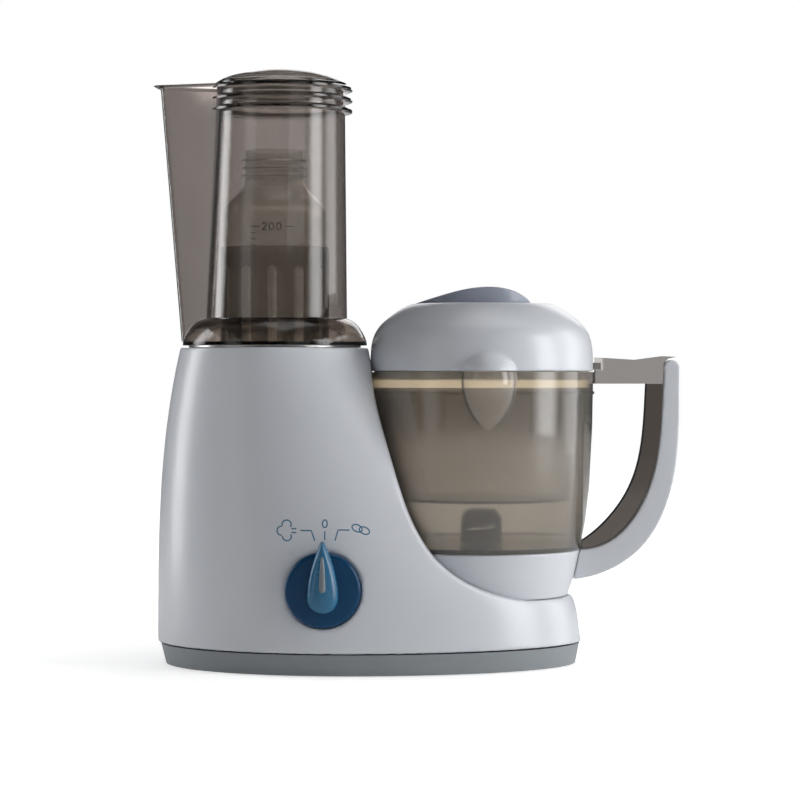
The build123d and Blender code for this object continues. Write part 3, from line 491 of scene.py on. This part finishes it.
def bowl_parts():
    """The bowl and its handle frame as two meshes, cut apart along the bowl's outer wall."""
    low, high = (Vector(corner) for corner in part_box("bowl_shell"))
    frame_low = (BOWL.x + FRAME_FROM_AXIS, low.y, low.z - FRAME_MARGIN)
    frame_side = block(frame_low, high + Vector((MM, MM, MM)))
    outside = joined(frame_side, bowl_core(), "DIFFERENCE")
    handle = joined(node_copy("bowl_shell"), outside.copy(), "INTERSECT")
    return joined(node_copy("bowl_shell"), outside, "DIFFERENCE"), handle


bowl_mesh, handle_mesh = bowl_parts()
arm_line = middle("basket_rim").z - ARM_BELOW_RIM  # the arm is above this height and the strut below it
above_line = block((0, -PAST_ALL, arm_line), (PAST_ALL, PAST_ALL, PAST_ALL))
below_line = block((0, -PAST_ALL, 0), (PAST_ALL, PAST_ALL, arm_line))
arm_mesh = joined(handle_mesh.copy(), above_line, "INTERSECT")
strut_mesh = joined(handle_mesh, below_line, "INTERSECT")
add_piece("bowl_wall", crisp(bowl_mesh), "smoked_bowl", "bowl", "smoked_clear", "bowl_shell")
add_piece("handle_arm", crisp(arm_mesh), "smoked_arm", "bowl", "smoked_clear")
add_piece("handle_strut", crisp(strut_mesh), "smoked_strut", "bowl", "smoked_clear")
eased_piece("handle_grip", "handle_cover", "bowl", "white_plastic", voxel=0.7 * MM, passes=14, keep=0.6)
eased_piece("bowl_foot", "bowl_collar", "bowl", "white_plastic", voxel=0.8 * MM, passes=6, keep=0.6)

# ---------------------------------------------------------------- lid and its filling cap
eased_piece("lid_moulding", "lid_shell", "lid", "white_plastic", voxel=0.9 * MM, passes=8, keep=0.6)
eased_piece("filling_cap", "lid_cap", "lid_cap", "blue_grey_cap", voxel=0.6 * MM, passes=10)


# ---------------------------------------------------------------- knob pointer and its lens
TAIL_STEPS, SIDE_STEPS, TIP_STEPS = 32, 24, 16
SIDE_BULGE = 1.9  # power of the curve between tail and tip: higher is fuller
DOME_LEVELS = 14
UPRIGHT_SHARE = 0.25  # share of the depth where the sides stand straight up
CROWN_SHARE = 0.06  # share of the plan that is left as a flat crown


def teardrop_plan(low, high, tail_r, tip_r):
    """Outline of a teardrop: (across, along, spine), where spine is the point that it draws in towards."""
    tail, tip = low + tail_r, high - tip_r
    round_tail = [(tail_r * math.sin(turn), -tail_r * math.cos(turn), tail)
                  for turn in (math.pi * (step / TAIL_STEPS - 0.5) for step in range(TAIL_STEPS + 1))]
    side = [(tip_r + (tail_r - tip_r) * (1 - share**SIDE_BULGE), tail + (tip - tail) * share)
            for share in (step / SIDE_STEPS for step in range(1, SIDE_STEPS))]
    round_tip = [(tip_r * math.cos(turn), tip_r * math.sin(turn), tip)
                 for turn in (math.pi * step / TIP_STEPS for step in range(TIP_STEPS + 1))]
    going_up = [(width, 0.0, spine) for width, spine in side]
    going_down = [(-width, 0.0, spine) for width, spine in reversed(side)]
    return round_tail + going_up + round_tip + going_down


def teardrop(centre_x, low, high, tail_r, tip_r, back, front):
    """Teardrop that bulges to the front: plan rings that draw in towards the spine as they rise."""
    plan = teardrop_plan(low, high, tail_r, tip_r)
    mesh = bmesh.new()
    rings = []
    for level in range(DOME_LEVELS + 1):
        lift = level / DOME_LEVELS
        curve = max(0.0, (lift - UPRIGHT_SHARE) / (1 - UPRIGHT_SHARE))
        shrink = max(math.sqrt(1 - curve**2), CROWN_SHARE)
        depth = back + (front - back) * lift
        rings.append([mesh.verts.new((centre_x + across * shrink, depth, spine + along * shrink))
                      for across, along, spine in plan])
    for one, other in zip(rings, rings[1:]):
        for step in range(len(plan)):
            after = (step + 1) % len(plan)
            mesh.faces.new((one[step], one[after], other[after], other[step]))
    mesh.faces.new(rings[0])
    mesh.faces.new(rings[-1])
    bmesh.ops.recalc_face_normals(mesh, faces=mesh.faces)
    data = bpy.data.meshes.new("teardrop")
    mesh.to_mesh(data)
    mesh.free()
    return data


POINTER_TAIL_R, POINTER_TIP_R = 9.8 * MM, 1.8 * MM
LENS_TAIL_R, LENS_TIP_R = 2.5 * MM, 1.0 * MM
LENS_BELOW, LENS_ABOVE = 1.5 * MM, 22 * MM  # how far the lens reaches from the knob's centre
LENS_DEPTH = 2.5 * MM  # how far it is let into the pointer
LENS_DOWN, POINTER_DOWN = 0.05 * MM, 0.7 * MM  # how far each crown is behind the CAD pointer's front

pointer_low, pointer_high = (Vector(corner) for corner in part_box("knob_pointer"))
knob_middle = middle("knob_dial")
pointer_front = pointer_low.y + POINTER_DOWN
pointer_mesh = teardrop(knob_middle.x, pointer_low.z, pointer_high.z, POINTER_TAIL_R, POINTER_TIP_R,
                        pointer_high.y, pointer_front)
lens_mesh = teardrop(knob_middle.x, knob_middle.z - LENS_BELOW, knob_middle.z + LENS_ABOVE, LENS_TAIL_R,
                     LENS_TIP_R, pointer_front + LENS_DEPTH, pointer_low.y + LENS_DOWN)
add_piece("pointer_teardrop", crisp(pointer_mesh, degrees=50), "blue_pointer", "knob", "blue_pointer",
          "knob_pointer")
add_piece("lens_teardrop", crisp(lens_mesh, degrees=50), "clear_inlay", "knob", "clear_lens",
          "indicator_lens")


# ---------------------------------------------------------------- printed marks
def surface_finder(data):
    """Ray test against a mesh: gives the first point and normal met from the front."""
    mesh = bmesh.new()
    mesh.from_mesh(data)
    tree = BVHTree.FromBMesh(mesh)
    mesh.free()

    def find(x, z):
        point, normal, _, _ = tree.ray_cast(Vector((x, -PAST_ALL, z)), Vector((0, 1, 0)))
        return point, normal

    return find


INK_PROUD, INK_SUNK = 0.06 * MM, 0.25 * MM  # a printed mark's face and back, from the surface it is on
SETTING_WIDTH, SCALE_WIDTH = 0.85 * MM, 0.5 * MM  # widths of the printed strokes
SCALE_ABOVE_MIDDLE = 22.0 * MM  # the number's height over the middle of the bottle


def neighbours(points, index, looped):
    """Points before and after one on a stroke, which are the point itself at an open end."""
    before = points[index - 1] if index else (points[-2] if looped else points[0])
    after = points[index + 1] if index + 1 < len(points) else (points[1] if looped else points[-1])
    return before, after


def ribbon_mesh(strokes, width, find):
    """Closed ribbons that follow strokes of (x, z) points over a surface."""
    mesh = bmesh.new()
    for stroke in strokes:
        looped = stroke[0] == stroke[-1]
        points = [Vector(point) for point in stroke]
        rings = []
        for index, point in enumerate(points):
            before, after = neighbours(points, index, looped)
            along = (after - before).normalized()
            across = Vector((-along.y, along.x)) * width / 2
            ring = []
            corners = ((across, INK_PROUD), (-across, INK_PROUD), (-across, -INK_SUNK), (across, -INK_SUNK))
            for side, lift in corners:
                place, normal = find(point.x + side.x, point.y + side.y)
                ring.append(mesh.verts.new(place + normal * lift))
            rings.append(ring)
        for one, other in zip(rings, rings[1:]):
            for corner in range(4):
                after = (corner + 1) % 4
                mesh.faces.new((one[corner], one[after], other[after], other[corner]))
        mesh.faces.new(rings[0])
        mesh.faces.new(rings[-1])
    bmesh.ops.recalc_face_normals(mesh, faces=mesh.faces)
    data = bpy.data.meshes.new("marks")
    mesh.to_mesh(data)
    mesh.free()
    return data


def straight(start, end, steps=10):
    """Points along a straight stroke."""
    return [(start[0] + (end[0] - start[0]) * step / steps, start[1] + (end[1] - start[1]) * step / steps)
            for step in range(steps + 1)]


def bent(start, corner, end, steps=6):
    """Points along a stroke with one corner."""
    return [*straight(start, corner, steps), *straight(corner, end, steps)[1:]]


def oval(centre, half_width, half_height, lean=0.0, first=0.0, last=360.0, steps=40):
    """Points along an oval, or along a part of it between two angles in degrees."""
    turn = math.radians(lean)
    points = []
    for step in range(steps + 1):
        angle = math.radians(first + (last - first) * step / steps)
        x, z = half_width * math.cos(angle), half_height * math.sin(angle)
        points.append((centre[0] + x * math.cos(turn) - z * math.sin(turn),
                       centre[1] + x * math.sin(turn) + z * math.cos(turn)))
    if abs(last - first) >= 360:
        points[-1] = points[0]
    return points


def knob_marks():
    """Generic setting marks over the knob: a cloud for steam, a nought for off, two ovals for blending."""
    def at(x, z):
        return knob_middle.x + x * MM, knob_middle.z + z * MM

    cloud = [
        oval(at(-23.0, 41.3), 2.9 * MM, 2.7 * MM, 0, -35, 200, 24),
        oval(at(-26.4, 37.3), 2.7 * MM, 2.8 * MM, 0, 85, 275, 24),
        oval(at(-22.8, 33.6), 2.8 * MM, 2.6 * MM, 0, 170, 395, 24),
    ]
    steam = [straight(at(-20.0, 38.6), at(-16.8, 38.6)), straight(at(-20.0, 36.2), at(-16.8, 36.2))]
    nought = oval(at(1.2, 41.8), 1.5 * MM, 2.4 * MM)
    tick = straight(at(1.2, 37.2), at(1.2, 31.6))
    left = bent(at(-14.3, 37.5), at(-7.4, 37.5), at(-5.1, 31.1))
    right = bent(at(16.8, 37.8), at(9.6, 37.9), at(7.6, 31.2))
    blend = [oval(at(21.6, 38.9), 3.4 * MM, 2.1 * MM, -25), oval(at(26.2, 37.4), 3.4 * MM, 2.1 * MM, -25)]
    return [*cloud, *steam, nought, tick, left, right, *blend]


on_housing = surface_finder(housing.data)
marks_mesh = ribbon_mesh(knob_marks(), SETTING_WIDTH, on_housing)
add_piece("setting_marks", crisp(marks_mesh), "printed_blue", "base", "blue_pointer")


def bottle_marks():
    """Plain volume scale on the bottle: short level lines and a generic number."""
    centre = middle("bottle")
    level = centre.z + SCALE_ABOVE_MIDDLE

    def at(x, z):
        return centre.x + x * MM, level + z * MM

    lines = [straight(at(-14, 0), at(-8.5, 0)), straight(at(8.5, 0), at(14, 0))]
    lines += [straight(at(-14, -4.0 * step), at(-11, -4.0 * step)) for step in (1, 2, 3)]
    hook = oval(at(-5.2, 1.1), 1.3 * MM, 1.3 * MM, 0, 165, -35, 14)
    two = [*hook, *bent(at(-4.3, 0.1), at(-6.6, -2.3), at(-3.8, -2.3), 5)[1:]]
    noughts = [oval(at(x, 0), 1.4 * MM, 2.3 * MM) for x in (-0.6, 4.2)]
    return [*lines, two, *noughts]


on_bottle = surface_finder(node_copy("bottle"))
scale_mesh = ribbon_mesh(bottle_marks(), SCALE_WIDTH, on_bottle)
add_piece("bottle_scale", crisp(scale_mesh), "printed_grey", "bottle", "bottle_clear")
